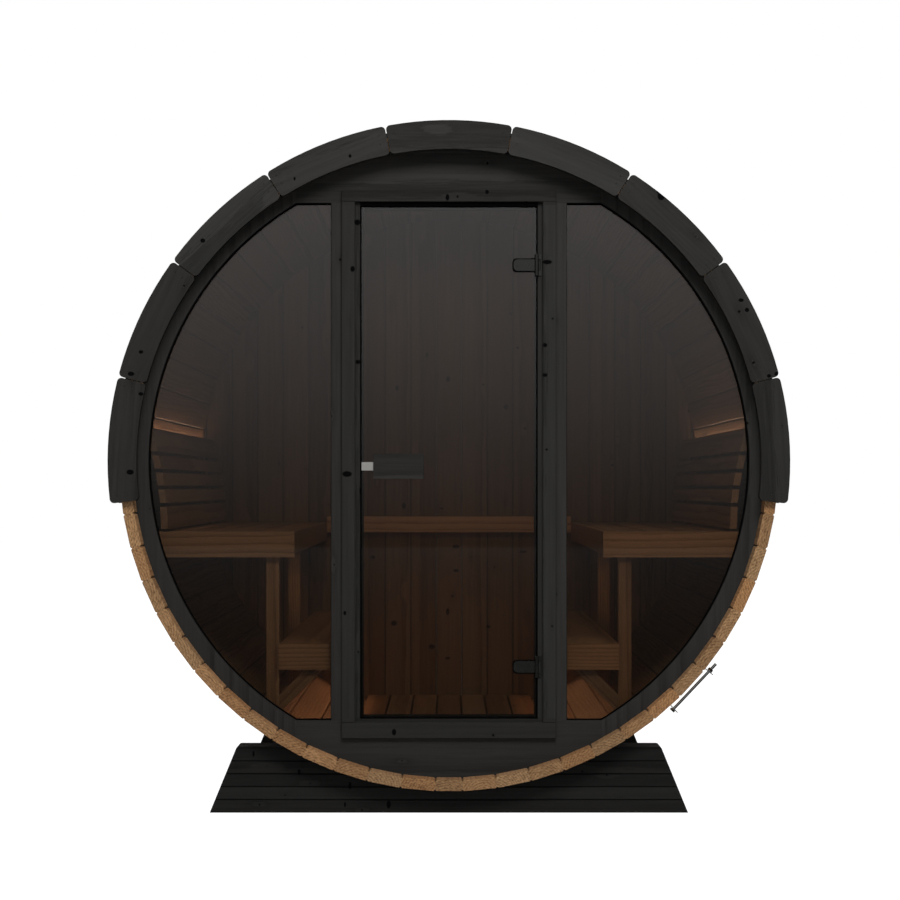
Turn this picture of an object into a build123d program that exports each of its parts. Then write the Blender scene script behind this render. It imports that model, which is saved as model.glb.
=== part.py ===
"""Barrel sauna: a lying wooden barrel on two cradles, with a glazed front and a glass door.

Millimetres. X is to the right of the door, Y runs from the front to the back and Z is up.
The origin lies on the ground, under the middle of the barrel.
"""

import os
from math import asin, cos, degrees, hypot, radians, sin, sqrt, tan

from build123d import *

os.makedirs("parts", exist_ok=True)

# Barrel shell
stave_outer = 1135.0            # centre of the barrel to the flat outer face of a stave
stave_thickness = 38.0
barrel_length = 2000.0
full_staves = 59                # one narrower stave at the bottom closes the ring
stave_angle = 6.02              # degrees that a full stave takes
stave_joint = 0.3               # open joint between two staves
stave_outer_bevel = 5.0
stave_inner_bevel = 5.0
tongue_width = 8.0
tongue_depth = 6.0
tongue_taper = 1.0
tongue_play = 0.3
staves_per_group = 10
croze_depth = 8.0               # groove in the staves that holds an end wall
seat_play = 0.3                 # what a seated piece keeps from its seat

# Ground and cradles
barrel_clear = 88.5             # ground to the underside of the lowest stave
cradle_height = 231.0
cradle_plank = 45.0
cradle_half_foot = 834.0
cradle_half_top = 739.0
cradle_depth = 95.0
cradle_inset = 80.0             # front of the barrel to the front of the cradle
cradle_corner = 12.0
plank_joint = 0.3
plank_bevel = 3.0
cradle_planks = 5

# Curved trim boards on both ends
trim_lap = 25.0                 # trim past the inner face of the staves
trim_rise = 35.6                # trim past the outer face of the staves
trim_thickness = 28.0
trim_boards = 9
trim_angle = 21.6
trim_gap = 3.0
trim_corner = 15.0

# Steel straps and their bolts
strap_thickness = 1.0
strap_width = 25.0
strap_inset = 50.0              # end of the barrel to the middle of the strap
strap_play = 0.2
ear_middle = 46.7               # degrees from the bottom, on the right side
ear_spread = 8.6                # degrees between the two ears
ear_height = 40.0
ear_thickness = 3.0
bolt_radius = 5.0
bolt_rise = 23.0                # bolt hole above the strap
bolt_end = 24.0                 # thread past the nut
bolt_hole_play = 0.6
nut_across = 17.0
nut_thickness = 8.0
washer_radius = 10.0
washer_thickness = 2.0

# Roof covering
roof_thickness = 8.0

# End walls
wall_inset = 62.0               # end of the barrel to the outer face of the wall
wall_thickness = 42.0
wall_board = 113.5
wall_bevel = 4.0
rail_height = 70.0
rail_depth = 45.0
rail_rise = 25.5                # top of the upper bench to the top of the rail
rail_bevel = 3.0

# Front windows
rim_width = 52.0                # inner face of the staves to a window
head_depth = 197.0              # inner face of the staves to the level edges of a window
pane_thickness = 8.0
pane_bite = 8.0                 # pane held in the groove round its opening
pane_play = 0.4
window_post = 64.0              # doorway to a window

# Doorway, its frame, stops and casing
doorway_step = 25.0             # doorway past the level edges of the windows
frame_half = 309.0              # clear half width between the frame posts
frame_post = 36.0
frame_head = 35.5
frame_sill = 30.5
stop_width = 12.0
stop_gap = 5.0                  # door pane to the stops
casing_thickness = 18.0
casing_bevel = 1.5
casing_width = 45.5
casing_head_height = 41.4
casing_sill_height = 55.0
side_reveal = 17.0              # frame that shows inside the casing
head_reveal = 12.1
sill_reveal = 10.5
joint_gap = 0.3                 # open joint between boards of one frame

# Door
door_gap = 5.5                  # door pane to its frame, all round
door_setback = 2.0              # wall face to the front of the door pane
handle_inset = 41.5             # free edge of the door pane to the handle
handle_length = 174.0
handle_height = 87.0
handle_rise = 995.0             # floor to the middle of the handle
handle_thickness = 22.0
latch_reach = 40.0
latch_height = 29.0
latch_thickness = 3.0
hinge_drop = 201.0              # top of the door pane to the middle of the upper hinge
hinge_rise = 176.0              # foot of the door pane to the middle of the lower hinge
hinge_offset = 1.5              # hinged edge of the door pane to the pin
hinge_front = 8.0               # wall face to the hinge pin, outwards
clamp_length = 80.0
clamp_height = 40.0
clamp_thickness = 6.0
clamp_corner = 14.0
knuckle_radius = 7.0
knuckle_height = 74.0
knuckle_gap = 0.5
pin_radius = 3.0
pin_play = 0.2
leaf_thickness = 4.0
leaf_reach = 17.0

# Floor
floor_rise = 86.0               # lowest inner face of the staves to the top of the floor
floor_slat_width = 98.0
floor_slat_gap = 5.2
floor_slat_thickness = 22.0
floor_slat_bevel = 2.0
floor_end_gap = 12.0
floor_bearers = 4
bearer_end_inset = 28.0         # edge of the floor to the end of a bearer
bearer_width = 45.0

# Benches, given on the left side and mirrored
bench_front_gap = 11.0          # front wall to the bench
bench_fascia = 90.0
board_thickness = 26.0
upper_height = 766.5            # floor to the upper bench
upper_inner = 541.0             # middle of the room to the upper bench
lower_height = 372.0
lower_inner = 385.0
seat_slat_gap = 10.0
upper_slats = 4
lower_slats = 1
bench_side = 78.0               # height of the board along the inner side of a bench
leg_width = 45.0
leg_inset = 56.0                # inner edge of the upper bench to its legs
second_leg = 946.0              # front wall to the second leg of each side
brace_drop = 181.7              # lower seat to where a brace meets its leg
bearer_height = 45.0

# Backrests
backrest_rise = 9.5             # bench to the foot of the backrest
backrest_foot_gap = 86.0        # staves to the foot of the backrest face
backrest_heights = (77.5, 47.0, 45.0, 46.5, 82.0)
backrest_leans = (2.0, 7.0, 10.0, 13.0, 13.0)
backrest_joint = 14.0
backrest_thickness = 24.0
backrest_end_gap = 40.0
post_width = 45.0
post_depth = 22.0
post_inset = 300.0              # end of the backrest to its posts
backrest_post_count = 2

# Worked out from the sizes above
upright = 90.0                  # sketch angle of straight up
axis_height = barrel_clear + stave_outer
stave_inner = stave_outer - stave_thickness
closing_angle = 360.0 - full_staves * stave_angle
front_end = -barrel_length / 2
rear_end = barrel_length / 2
wall_front = front_end + wall_inset
wall_back = wall_front + wall_thickness
room_end = -wall_back
wall_radius = stave_inner + croze_depth - seat_play
seat_radius = stave_inner - seat_play
stave_corner = hypot(stave_outer, stave_outer * tan(radians(stave_angle / 2)) - stave_outer_bevel)
seam_stretch = 1 / cos(radians(stave_angle / 2))      # seam against the flat of a stave
strap_inner = stave_outer + strap_play
strap_outer = strap_inner + strap_thickness
roof_inner = strap_outer * seam_stretch + seat_play
roof_outer = roof_inner + roof_thickness
trim_inner = stave_inner - trim_lap
trim_outer = stave_outer + trim_rise
trim_half_span = trim_boards * trim_angle / 2

window_radius = stave_inner - rim_width
window_half_height = stave_inner - head_depth
window_corner = sqrt(window_radius**2 - window_half_height**2)
doorway_half = frame_half + frame_post
window_inner = doorway_half + window_post
doorway_top = window_half_height + doorway_step
frame_top = doorway_top - frame_head
frame_bottom = frame_sill - doorway_top
pane_face = wall_front + (wall_thickness - pane_thickness) / 2

door_half = frame_half - door_gap
door_top = frame_top - door_gap
door_bottom = frame_bottom + door_gap
pane_front = wall_front + door_setback
pane_back = pane_front + pane_thickness
hinge_axis_x = door_half + hinge_offset
hinge_axis_y = wall_front - hinge_front
hinge_heights = (door_top - hinge_drop, door_bottom + hinge_rise)

room_start = wall_back
floor_start = room_start + floor_end_gap
floor_end = room_end - floor_end_gap
floor_top = floor_rise - stave_inner
upper_top = floor_top + upper_height
lower_top = floor_top + lower_height
bench_start = room_start + bench_front_gap
bench_end = room_end - seat_play
leg_starts = (bench_start + board_thickness + joint_gap, room_start + second_leg)
leg_inner = upper_inner + leg_inset
leg_outer = leg_inner + leg_width
backrest_low = upper_top + backrest_rise
backrest_end = room_end - backrest_end_gap


def save(piece, name):
    """Label a finished piece and write it to its own file."""
    piece.part.label = name
    export_step(piece.part, f"parts/{name}.step")


def front_plane(y, turn=0.0):
    """Upright plane at a distance y, seen from the front, turned about the barrel's middle line."""
    across = (cos(radians(turn)), 0, sin(radians(turn)))
    return Plane(origin=(0, y, axis_height), x_dir=across, z_dir=(0, -1, 0))


def block(x0, x1, y0, y1, z0, z1):
    """A board between six faces, with z from the barrel's middle line."""
    with Locations(((x0 + x1) / 2, (y0 + y1) / 2, axis_height + (z0 + z1) / 2)):
        Box(abs(x1 - x0), abs(y1 - y0), abs(z1 - z0))


def mirrored(piece, name):
    """Make and save the like piece on the other side of the door."""
    with BuildPart() as twin:
        mirror(piece.part, about=Plane.YZ)
    save(twin, name)


# Staves, with a tongue on one side and a groove on the other
def stave_turn(number):
    """Angle from the bottom of the barrel to the middle of a stave; number 0 closes the ring."""
    if number == 0:
        return 0.0
    return closing_angle / 2 + stave_angle * (number - 0.5)


def stave_section(half_angle):
    """Section of one stave that lies at the bottom of the barrel."""
    lean = radians(half_angle)

    def right(radius, out=-stave_joint / 2):
        """Point on the right seam at a distance from the barrel's middle, moved out past the seam."""
        return (radius * sin(lean) + out * cos(lean), out * sin(lean) - radius * cos(lean))

    def left(radius, out=-stave_joint / 2):
        """The like point on the left seam."""
        x, y = right(radius, out)
        return (-x, y)

    outer = stave_outer / cos(lean)
    inner = stave_inner / cos(lean)
    middle = stave_outer - stave_thickness / 2
    tongue = tongue_width / 2
    groove = tongue + tongue_play
    deep = -tongue_depth - tongue_play
    outer_flat = stave_outer * tan(lean) - stave_outer_bevel
    inner_flat = stave_inner * tan(lean) - stave_inner_bevel
    with BuildLine() as outline:
        Polyline(
            (-outer_flat, -stave_outer),
            (outer_flat, -stave_outer),
            right(outer - stave_outer_bevel),
            right(middle + tongue),
            right(middle + tongue - tongue_taper, tongue_depth),
            right(middle - tongue + tongue_taper, tongue_depth),
            right(middle - tongue),
            right(inner + stave_inner_bevel),
            (inner_flat, -stave_inner),
            (-inner_flat, -stave_inner),
            left(inner + stave_inner_bevel),
            left(middle - groove),
            left(middle - groove + tongue_taper, deep),
            left(middle + groove - tongue_taper, deep),
            left(middle + groove),
            left(outer - stave_outer_bevel),
            close=True,
        )
    make_face(outline.edges())


def stave_group(numbers, name):
    """Staves side by side, each a solid of its own, with the grooves for both end walls."""
    with BuildPart() as group:
        for number in numbers:
            half_angle = closing_angle / 2 if number == 0 else stave_angle / 2
            with BuildSketch(front_plane(front_end, stave_turn(number))):
                stave_section(half_angle)
            extrude(amount=-barrel_length)
        for wall_face in (wall_front, -wall_back):
            with BuildSketch(front_plane(wall_face - seat_play)):
                Circle(stave_inner + croze_depth)
            extrude(amount=-wall_thickness - 2 * seat_play, mode=Mode.SUBTRACT)
    save(group, name)


stave_names = (
    "staves_bottom",
    "staves_lower_right",
    "staves_upper_right",
    "staves_top",
    "staves_upper_left",
    "staves_lower_left",
)
staves = full_staves + 1
for place, name in enumerate(stave_names):
    first = place * staves_per_group - staves_per_group // 2 + 1
    last = first + staves_per_group if name != stave_names[-1] else staves - staves_per_group // 2 + 1
    stave_group([number % staves for number in range(first, last)], name)


# Curved trim boards over the stave ends
def trim_ring(front_face, name):
    """Nine curved boards that cover the upper stave ends."""
    end_angle = degrees(trim_gap / 2 / trim_outer)
    half_board = trim_angle / 2 - end_angle
    with BuildPart() as ring:
        for board in range(trim_boards):
            middle = upright + (board - (trim_boards - 1) / 2) * trim_angle
            with BuildSketch(front_plane(front_face)) as face:
                with BuildLine():
                    low = CenterArc((0, 0), trim_inner, middle - half_board, 2 * half_board)
                    high = CenterArc((0, 0), trim_outer, middle - half_board, 2 * half_board)
                    Line(low @ 0, high @ 0)
                    Line(low @ 1, high @ 1)
                make_face()
                fillet(face.vertices(), trim_corner)
            extrude(amount=-trim_thickness)
    save(ring, name)


trim_ring(front_end - trim_thickness, "front_trim")
trim_ring(rear_end, "rear_trim")

# Roof covering over the upper staves and the straps
with BuildPart() as roof:
    with BuildSketch(front_plane(front_end + seat_play)):
        with BuildLine():
            start = upright - trim_half_span
            inside = CenterArc((0, 0), roof_inner, start, 2 * trim_half_span)
            outside = CenterArc((0, 0), roof_outer, start, 2 * trim_half_span)
            Line(inside @ 0, outside @ 0)
            Line(inside @ 1, outside @ 1)
        make_face()
    extrude(amount=-barrel_length + 2 * seat_play)
save(roof, "roof_covering")


# Steel straps with two ears each, drawn together by a long bolt
ear_half = ear_spread / 2
bolt_reach = strap_outer + bolt_rise


def strap_line(distance, mode=Mode.ADD):
    """Polygon that lies over the flats of the staves and bends at their seams."""
    seams = [radians(closing_angle / 2 + stave_angle * seam) for seam in range(full_staves + 1)]
    reach = distance * seam_stretch
    with BuildLine() as line:
        Polyline(*[(reach * sin(seam), -reach * cos(seam)) for seam in seams], close=True)
    make_face(line.edges(), mode=mode)


def strap(middle, name):
    """A band round the barrel that ends in two upright ears."""
    opening = 2 * strap_outer * sin(radians(ear_half)) + ear_thickness
    ear_end = strap_outer + ear_height
    with BuildPart() as band:
        with BuildSketch(front_plane(middle - strap_width / 2)):
            strap_line(strap_outer)
            with Locations(Location((0, 0), ear_middle)):
                with Locations((0, -strap_outer)):
                    Rectangle(opening, 2 * ear_height, mode=Mode.SUBTRACT)
            for side in (-1, 1):
                with Locations(Location((0, 0), ear_middle + side * ear_half)):
                    with Locations((side * ear_thickness / 2, ear_height / 2 - ear_end)):
                        Rectangle(ear_thickness, ear_height)
                    with Locations((side * ear_thickness / 2, ear_height / 2 - strap_outer)):
                        Rectangle(ear_thickness, ear_height)
            strap_line(strap_inner, mode=Mode.SUBTRACT)
        extrude(amount=-strap_width)
        with BuildSketch(bolt_plane(middle)):
            Circle(bolt_radius + bolt_hole_play)
        extrude(amount=bolt_reach, both=True, mode=Mode.SUBTRACT)
    save(band, name)


def bolt_plane(middle):
    """Plane across the bolt, half way between the ears."""
    turn = radians(ear_middle)
    reach = bolt_reach * cos(radians(ear_half))
    origin = (reach * sin(turn), middle, axis_height - reach * cos(turn))
    return Plane(origin=origin, x_dir=(0, 1, 0), z_dir=(cos(turn), 0, sin(turn)))


def bolt(middle):
    """A long bolt with its head at the lower ear and a washer and a nut at the upper one."""
    seat = bolt_reach * sin(radians(ear_half)) + ear_thickness
    seat += washer_radius * tan(radians(ear_half)) + seat_play
    plane = bolt_plane(middle)
    shank = 2 * seat + washer_thickness + nut_thickness + bolt_end
    with BuildSketch(plane.offset(-seat)) as rod:
        Circle(bolt_radius)
    extrude(rod.sketch, amount=shank)
    with BuildSketch(plane.offset(-seat)) as head:
        RegularPolygon(nut_across / 2, 6, major_radius=False)
    extrude(head.sketch, amount=-nut_thickness)
    with BuildSketch(plane.offset(seat)) as washer:
        Circle(washer_radius)
    extrude(washer.sketch, amount=washer_thickness)
    with BuildSketch(plane.offset(seat + washer_thickness)) as nut:
        RegularPolygon(nut_across / 2, 6, major_radius=False)
    extrude(nut.sketch, amount=nut_thickness)


strap(front_end + strap_inset, "front_strap")
strap(rear_end - strap_inset, "rear_strap")
with BuildPart() as bolts:
    bolt(front_end + strap_inset)
    bolt(rear_end - strap_inset)
save(bolts, "strap_bolts")


# Cradles: stacked planks, hollowed to the barrel
def cradle(front, name):
    """A trapezoid of stacked planks with a round saddle."""
    saddle = stave_corner + seat_play
    slope = (cradle_half_foot - cradle_half_top) / cradle_height
    with BuildPart() as stack:
        for level in range(cradle_planks):
            low = level * cradle_plank
            top_plank = level == cradle_planks - 1
            high = cradle_height if top_plank else low + cradle_plank - plank_joint
            low_half = cradle_half_foot - slope * low
            high_half = cradle_half_foot - slope * high
            with BuildSketch(front_plane(front)) as face:
                with BuildLine():
                    Polyline(
                        (-low_half, low - axis_height),
                        (low_half, low - axis_height),
                        (high_half, high - axis_height),
                        (-high_half, high - axis_height),
                        close=True,
                    )
                make_face()
                if top_plank:
                    fillet(face.vertices().group_by(Axis.Y)[-1], cradle_corner)
                Circle(saddle, mode=Mode.SUBTRACT)
            extrude(amount=-cradle_depth)
        chamfer(stack.edges().filter_by(Axis.X).group_by(Axis.Z)[1:-1], plank_bevel)
    save(stack, name)


cradle(front_end + cradle_inset, "front_cradle")
cradle(rear_end - cradle_inset - cradle_depth, "rear_cradle")


# Front wall, with two windows and the doorway cut through it
def pane_outline(radius, inner, half_height):
    """Window outline on the left: an upright edge, two level edges and a round one."""
    corner = sqrt(radius**2 - half_height**2)
    with BuildLine() as outline:
        Polyline((-corner, half_height), (-inner, half_height), (-inner, -half_height), (-corner, -half_height))
        level = degrees(asin(half_height / radius))
        CenterArc((0, 0), radius, 2 * upright - level, 2 * level)
    make_face(outline.edges())


def cut_pane_groove():
    """Groove that holds the window panes in the boards round them."""
    bite = pane_bite + pane_play
    with BuildSketch(front_plane(pane_face - pane_play)) as groove:
        pane_outline(window_radius + bite, window_inner - bite, window_half_height + bite)
        mirror(about=Plane.YZ)
    extrude(groove.sketch, amount=-pane_thickness - 2 * pane_play, mode=Mode.SUBTRACT)


with BuildPart() as wall_top:
    with BuildSketch(front_plane(wall_front)):
        Circle(wall_radius)
        with Locations((0, window_half_height + wall_radius / 2)):
            Rectangle(2 * window_corner, wall_radius, mode=Mode.INTERSECT)
        with Locations((0, (doorway_top + window_half_height) / 2)):
            Rectangle(2 * doorway_half, doorway_top - window_half_height, mode=Mode.SUBTRACT)
    extrude(amount=-wall_thickness)
    cut_pane_groove()
save(wall_top, "front_wall_top")

with BuildPart() as wall_bottom:
    with BuildSketch(front_plane(wall_front)):
        Circle(wall_radius)
        with Locations((0, -window_half_height - wall_radius / 2)):
            Rectangle(2 * window_corner, wall_radius, mode=Mode.INTERSECT)
        with Locations((0, -(doorway_top + window_half_height) / 2)):
            Rectangle(2 * doorway_half, doorway_top - window_half_height, mode=Mode.SUBTRACT)
    extrude(amount=-wall_thickness)
    cut_pane_groove()
save(wall_bottom, "front_wall_bottom")

with BuildPart() as left_rim:
    with BuildSketch(front_plane(wall_front)):
        Circle(wall_radius)
        Circle(window_radius, mode=Mode.SUBTRACT)
        with Locations((-window_corner - joint_gap - wall_radius / 2, 0)):
            Rectangle(wall_radius, 2 * wall_radius, mode=Mode.INTERSECT)
    extrude(amount=-wall_thickness)
    cut_pane_groove()
save(left_rim, "front_wall_left_rim")
mirrored(left_rim, "front_wall_right_rim")

with BuildPart() as posts:
    for side in (-1, 1):
        block(
            side * doorway_half, side * window_inner, wall_front, wall_back,
            joint_gap - window_half_height, window_half_height - joint_gap,
        )
    cut_pane_groove()
save(posts, "front_wall_posts")

with BuildPart() as left_pane:
    with BuildSketch(front_plane(pane_face)):
        pane_outline(window_radius + pane_bite, window_inner - pane_bite, window_half_height + pane_bite)
    extrude(amount=-pane_thickness)
save(left_pane, "left_window")
mirrored(left_pane, "right_window")


# Door frame, stops and casing: four boards round an opening
def board_frame(half_out, top_out, low_out, half_in, top_in, low_in, y0, y1):
    """Four boards round an opening, the level ones between or over the upright ones."""
    for side in (-1, 1):
        block(side * half_in, side * half_out, y0, y1, low_in + joint_gap, top_in - joint_gap)
    block(-half_out, half_out, y0, y1, top_in, top_out)
    block(-half_out, half_out, y0, y1, low_out, low_in)


with BuildPart() as frame:
    board_frame(
        doorway_half - joint_gap, doorway_top - joint_gap, joint_gap - doorway_top,
        frame_half, frame_top, frame_bottom, wall_front, wall_back,
    )
save(frame, "door_frame")

with BuildPart() as stops:
    board_frame(
        frame_half - joint_gap, frame_top - joint_gap, frame_bottom + joint_gap,
        frame_half - stop_width, frame_top - stop_width, frame_bottom + stop_width,
        pane_back + stop_gap, wall_back,
    )
save(stops, "door_stops")

with BuildPart() as casing:
    casing_half = frame_half + side_reveal
    casing_top = frame_top + head_reveal
    casing_bottom = frame_bottom - sill_reveal
    board_frame(
        casing_half + casing_width, casing_top + casing_head_height, casing_bottom - casing_sill_height,
        casing_half, casing_top, casing_bottom, wall_front - casing_thickness, wall_front,
    )
    front_edges = casing.edges().group_by(Axis.Y)[0]
    chamfer(front_edges, casing_bevel)
save(casing, "door_casing")

# Glass door with its handle and latch plate
with BuildPart() as door_pane:
    block(-door_half, door_half, pane_front, pane_back, door_bottom, door_top)
save(door_pane, "door_glass")

handle_middle = floor_top + handle_rise
handle_left = handle_inset - door_half
handle_right = handle_left + handle_length
with BuildPart() as handle:
    handle_low = handle_middle - handle_height / 2
    handle_high = handle_middle + handle_height / 2
    block(handle_left, handle_right, pane_front - handle_thickness, pane_front, handle_low, handle_high)
    block(handle_left, handle_right, pane_back, pane_back + handle_thickness, handle_low, handle_high)
save(handle, "door_handle")

with BuildPart() as latch:
    block(
        -door_half, latch_reach - door_half, pane_front - latch_thickness, pane_front,
        handle_middle - latch_height / 2, handle_middle + latch_height / 2,
    )
save(latch, "door_latch_plate")

# Hinges: glass clamps that turn on pins held by leaves on the frame
def level_plane(z):
    """Level plane at a height above the barrel's middle line."""
    return Plane.XY.offset(axis_height + z)


clamp_left = hinge_axis_x - clamp_length
with BuildPart() as clamps:
    for height in hinge_heights:
        low = height - clamp_height / 2
        clamp_back = frame_half - stop_width - door_gap
        for plate_front, right in ((pane_front - clamp_thickness, hinge_axis_x), (pane_back, clamp_back)):
            with BuildSketch(front_plane(plate_front)) as plate:
                with Locations(((clamp_left + right) / 2, height)):
                    Rectangle(right - clamp_left, clamp_height)
                fillet(plate.vertices().group_by(Axis.X)[0], clamp_corner)
            extrude(amount=-clamp_thickness)
        with BuildSketch(level_plane(low)):
            with Locations((hinge_axis_x, hinge_axis_y)):
                Circle(knuckle_radius)
        extrude(amount=clamp_height)
        with BuildSketch(level_plane(low)):
            with Locations((hinge_axis_x, hinge_axis_y)):
                Circle(pin_radius + pin_play)
        extrude(amount=clamp_height, mode=Mode.SUBTRACT)
save(clamps, "door_hinge_clamps")

with BuildPart() as leaves:
    for height in hinge_heights:
        low = height - knuckle_height / 2
        with BuildSketch(level_plane(low)):
            with Locations((hinge_axis_x, hinge_axis_y)):
                Circle(knuckle_radius)
            leaf_front = wall_front - leaf_thickness
            with Locations((hinge_axis_x + leaf_reach / 2, (leaf_front + wall_front) / 2)):
                Rectangle(leaf_reach, leaf_thickness)
        extrude(amount=knuckle_height)
        with BuildSketch(level_plane(height - clamp_height / 2 - knuckle_gap)):
            with Locations((hinge_axis_x, hinge_axis_y)):
                Rectangle(4 * knuckle_radius, 4 * knuckle_radius)
        extrude(amount=clamp_height + 2 * knuckle_gap, mode=Mode.SUBTRACT)
        with BuildSketch(level_plane(low)):
            with Locations((hinge_axis_x, hinge_axis_y)):
                Circle(pin_radius)
        extrude(amount=knuckle_height)
save(leaves, "frame_hinges")

# Back wall of upright boards, with a level rail inside
with BuildPart() as back_wall:
    boards = 2 * int(wall_radius // wall_board) + 1
    for board in range(boards):
        middle = (board - boards // 2) * wall_board
        with BuildSketch(Plane.XY.offset(axis_height - wall_radius)):
            half = (wall_board - joint_gap) / 2
            with BuildLine():
                Polyline(
                    (middle - half + wall_bevel, room_end),
                    (middle + half - wall_bevel, room_end),
                    (middle + half, room_end + wall_bevel),
                    (middle + half, room_end + wall_thickness - wall_bevel),
                    (middle + half - wall_bevel, room_end + wall_thickness),
                    (middle - half + wall_bevel, room_end + wall_thickness),
                    (middle - half, room_end + wall_thickness - wall_bevel),
                    (middle - half, room_end + wall_bevel),
                    close=True,
                )
            make_face()
        extrude(amount=2 * wall_radius)
    with BuildSketch(front_plane(room_end)):
        Circle(wall_radius)
    extrude(amount=-wall_thickness, mode=Mode.INTERSECT)
save(back_wall, "back_wall")

rail_top = upper_top + rail_rise
with BuildPart() as rail:
    block(
        joint_gap - upper_inner, upper_inner - joint_gap, room_end - rail_depth, room_end,
        rail_top - rail_height, rail_top,
    )
    chamfer(rail.edges().group_by(Axis.Y)[0], rail_bevel)
save(rail, "back_wall_rail")


# Duckboard floor on curved bearers
floor_slat_pitch = floor_slat_width + floor_slat_gap
floor_room = 2 * sqrt(seat_radius**2 - (floor_top - floor_slat_thickness) ** 2)
floor_slats = int((floor_room + floor_slat_gap) // floor_slat_pitch)
with BuildPart() as slats:
    for slat in range(floor_slats):
        middle = (slat - (floor_slats - 1) / 2) * floor_slat_pitch
        half = floor_slat_width / 2
        block(middle - half, middle + half, floor_start, floor_end, floor_top - floor_slat_thickness, floor_top)
    chamfer(slats.edges().filter_by(Axis.Y).group_by(Axis.Z)[-1], floor_slat_bevel)
save(slats, "floor_slats")

bearer_top = floor_top - floor_slat_thickness - seat_play
with BuildPart() as bearers:
    half = floor_slat_pitch * (floor_slats - 1) / 2 + floor_slat_width / 2 - bearer_end_inset
    spacing = (floor_end - floor_start - bearer_width) / (floor_bearers - 1)
    for bearer in range(floor_bearers):
        with BuildSketch(front_plane(floor_start + bearer * spacing)):
            with Locations((0, bearer_top - stave_inner / 2)):
                Rectangle(2 * half, stave_inner)
            Circle(seat_radius, mode=Mode.INTERSECT)
        extrude(amount=-bearer_width)
save(bearers, "floor_bearers")


# Benches
def round_limit(z):
    """Half width of the room at a height from the barrel's middle line."""
    return sqrt(seat_radius**2 - z**2)


def bench(top, inner, outer, slats, name):
    """Slatted seat on the left, with fascia boards in front and along its inner side."""
    low = top - bench_fascia
    with BuildPart() as seat:
        block(-outer, -inner, bench_start, bench_start + board_thickness, low, top)
        side_start = bench_start + board_thickness + joint_gap
        block(-inner - board_thickness, -inner, side_start, bench_end, top - bench_side, top)
        slat_inner = inner + board_thickness + joint_gap
        width = (outer - slat_inner - (slats - 1) * seat_slat_gap) / slats
        for slat in range(slats):
            x = slat_inner + slat * (width + seat_slat_gap)
            block(-x - width, -x, side_start, bench_end, top - board_thickness, top)
        high = top - board_thickness - joint_gap
        for y in (*leg_starts, bench_end - leg_width):
            block(-outer, -slat_inner, y, y + leg_width, high - bearer_height, high)
    save(seat, f"left_{name}")
    mirrored(seat, f"right_{name}")


bench_outer = round_limit(upper_top - bench_fascia)
bench(upper_top, upper_inner, bench_outer, upper_slats, "upper_bench")
bench(lower_top, lower_inner, leg_inner - joint_gap, lower_slats, "lower_bench")

# Legs that stand on the staves
leg_top = upper_top - board_thickness - bearer_height - 2 * joint_gap
with BuildPart() as legs:
    for leg_start in leg_starts:
        with BuildSketch(front_plane(leg_start)):
            with Locations((-(leg_inner + leg_outer) / 2, leg_top - stave_inner / 2)):
                Rectangle(leg_width, stave_inner)
            Circle(seat_radius, mode=Mode.INTERSECT)
        extrude(amount=-leg_width)
save(legs, "left_bench_legs")
mirrored(legs, "right_bench_legs")

# Braces at 45 degrees, from the foot of each leg to the lower bench
brace_start = joint_gap - leg_inner
brace_high = lower_top - brace_drop
brace_top = lower_top - board_thickness - bearer_height - 2 * joint_gap
brace_end = brace_start + brace_top - brace_high
brace_slant = leg_width * sqrt(2)
with BuildPart() as braces:
    for leg_start in leg_starts:
        with BuildSketch(front_plane(leg_start)):
            with BuildLine():
                Polyline(
                    (brace_start, brace_high),
                    (brace_end, brace_top),
                    (brace_end + brace_slant, brace_top),
                    (brace_start, brace_high - brace_slant),
                    close=True,
                )
            make_face()
            Circle(seat_radius, mode=Mode.INTERSECT)
        extrude(amount=-leg_width)
save(braces, "left_bench_braces")
mirrored(braces, "right_bench_braces")

# Face of the backrest on the left, as the foot and the head of each slat
backrest_face = []
reach = round_limit(backrest_low) - backrest_foot_gap
foot = backrest_low
for slat_height, slat_lean in zip(backrest_heights, backrest_leans):
    slope = tan(radians(slat_lean))
    head = foot + slat_height
    backrest_face += [(-reach, foot), (-reach - slat_height * slope, head)]
    reach += (slat_height + backrest_joint) * slope
    foot = head + backrest_joint

with BuildPart() as backrest:
    for (foot_x, foot), (head_x, head) in zip(backrest_face[::2], backrest_face[1::2]):
        with BuildSketch(front_plane(bench_start)):
            with BuildLine():
                Polyline(
                    (foot_x, foot),
                    (head_x, head),
                    (head_x - backrest_thickness, head),
                    (foot_x - backrest_thickness, foot),
                    close=True,
                )
            make_face()
        extrude(amount=bench_start - backrest_end)
save(backrest, "left_backrest")
mirrored(backrest, "right_backrest")

# Posts behind the backrests, which stand on the upper benches
post_face = [(x - backrest_thickness - joint_gap, z) for x, z in backrest_face]
post_face.insert(0, (post_face[0][0], upper_top + joint_gap))
post_back = [(x - post_depth, z) for x, z in reversed(post_face)]
with BuildPart() as backrest_posts:
    post_start = bench_start + post_inset
    spacing = (backrest_end - post_inset - post_width - post_start) / (backrest_post_count - 1)
    for post in range(backrest_post_count):
        with BuildSketch(front_plane(post_start + post * spacing)):
            with BuildLine():
                Polyline(*post_face, *post_back, close=True)
            make_face()
        extrude(amount=-post_width)
save(backrest_posts, "left_backrest_posts")
mirrored(backrest_posts, "right_backrest_posts")
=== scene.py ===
"""Looks of the barrel sauna: boards, glass, metal, roof shingles, seals, light strips and screws.

Metres. X is to the right of the door, Y runs from the front to the back and Z is up.
"""

import itertools
import math

import bmesh
import bpy
from mathutils import Matrix, Vector


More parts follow.
